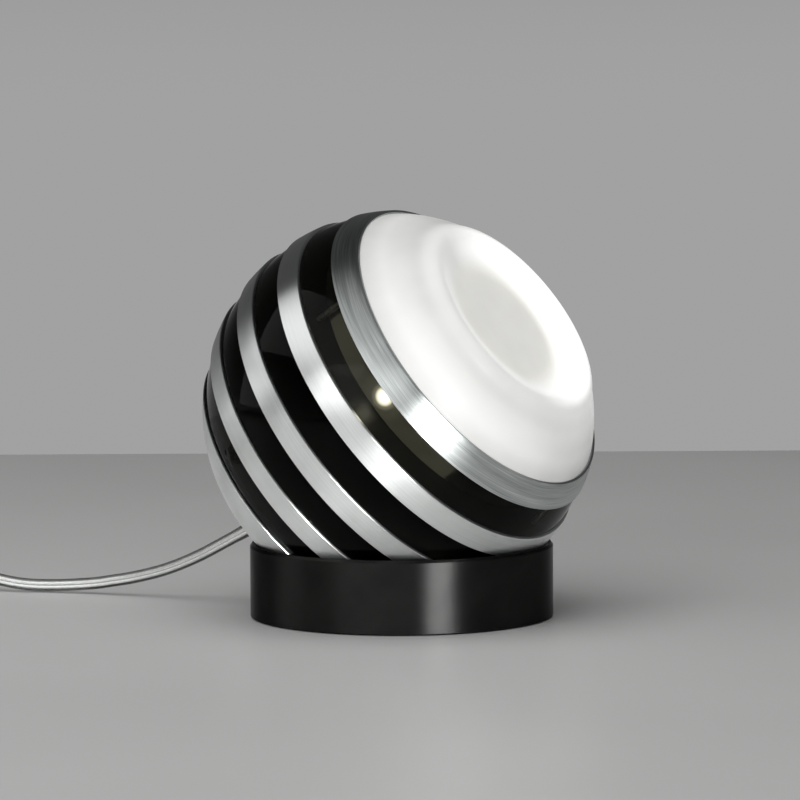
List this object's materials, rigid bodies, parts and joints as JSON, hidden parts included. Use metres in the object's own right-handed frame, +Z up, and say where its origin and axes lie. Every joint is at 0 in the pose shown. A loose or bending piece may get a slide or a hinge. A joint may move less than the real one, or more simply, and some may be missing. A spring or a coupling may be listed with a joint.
{
  "type": "led table lamp",
  "caption": "LED table lamp: a ball of polished metal and black acrylic rings behind an opal lens, in a round black base, with a clear cord, in-line switch and plug.",
  "frame": {"origin": "middle of the foot pad's underside, where the base stands on the table", "axes": "+Z up, -Y the way the lens faces, +Y the way the cord leaves, X across"},
  "size_m": [0.2146, 0.3726, 0.1538],
  "materials": {
    "brushed_metal": "fine circular brushing, satin",
    "polished_metal": "polished",
    "black_acrylic": "polished, slightly see-through",
    "opal_lens": "opal, satin gloss",
    "black_coat": "satin black powder coat",
    "weight_iron": "as cast",
    "bare_plate": "mill finish",
    "screw_steel": "zinc plated",
    "felt": "pressed felt",
    "soft_rubber": "matt",
    "washer_plastic": "natural acetal",
    "white_board": "white solder mask",
    "driver_green": "green solder mask",
    "phosphor": "yellow phosphor",
    "amber_led": "warm, diffuse",
    "driver_black": "matt",
    "clear_pvc": "clear, smooth",
    "lead_white": "smooth",
    "switch_white": "moulded, satin gloss",
    "rocker_black": "moulded",
    "plated_brass": "nickel plated",
    "tie_black": "matt"
  },
  "bodies": {
    "base": {"base_ring": "black_coat", "base_weight": "weight_iron", "bottom_plate": "black_coat", "base_screws": "screw_steel", "foot_pad": "soft_rubber", "bearing_washer": "washer_plastic", "cord_run": "clear_pvc", "cord_link": "clear_pvc", "cord_coil": "clear_pvc", "cord_tail": "clear_pvc", "coil_tie": "tie_black", "switch_bottom": "switch_white", "switch_top": "switch_white", "switch_boots": "switch_white", "switch_contacts": "plated_brass", "switch_screws": "screw_steel", "plug_body": "switch_white", "plug_pins": "plated_brass"},
    "seat": {"seat_ring": "bare_plate", "seat_felt": "felt"},
    "lead": {"cable_gland": "polished_metal", "gland_nut": "screw_steel", "strain_relief": "clear_pvc", "cord_exit": "clear_pvc"},
    "head": {"bezel": "brushed_metal", "lens": "opal_lens", "lens_gasket": "soft_rubber", "acrylic_ring_1": "black_acrylic", "acrylic_ring_2": "black_acrylic", "acrylic_ring_3": "black_acrylic", "acrylic_ring_4": "black_acrylic", "metal_ring_1": "polished_metal", "metal_ring_2": "polished_metal", "metal_ring_3": "polished_metal", "back_cap": "polished_metal", "bezel_screws": "screw_steel", "led_plate": "bare_plate", "led_board": "white_board", "led_chips": "phosphor", "edge_led": "amber_led", "core_tube": "bare_plate", "heat_sink": "bare_plate", "tie_rods": "screw_steel", "tie_nuts": "screw_steel", "driver_board": "driver_green", "driver_parts": "driver_black", "inner_leads": "lead_white"},
    "rocker": {"switch_rocker": "rocker_black"}
  },
  "joints": [
    {"name": "head_swivel", "type": "hinge", "parent": "base", "child": "seat", "pos_m": [0, 0, 0.07893], "axis": [0, 0, 1], "range_deg": [-20, 20], "deforming": ["cord_run", "cord_exit"]},
    {"name": "head_tilt", "type": "hinge", "parent": "seat", "child": "lead", "pos_m": [0, 0, 0.07893], "axis": [1, 0, 0], "range_deg": [-2, 22], "deforming": ["cord_exit"]},
    {"name": "head_roll", "type": "hinge", "parent": "lead", "child": "head", "pos_m": [0, 0, 0.07893], "axis": [0, -0.8007, 0.599], "range_deg": [-90, 90]},
    {"name": "switch_rocker_tilt", "type": "hinge", "parent": "base", "child": "rocker", "pos_m": [-0.0135, 0.23, 0.01235], "axis": [-1, 0, 0], "range_deg": [0, 14]}
  ]
}
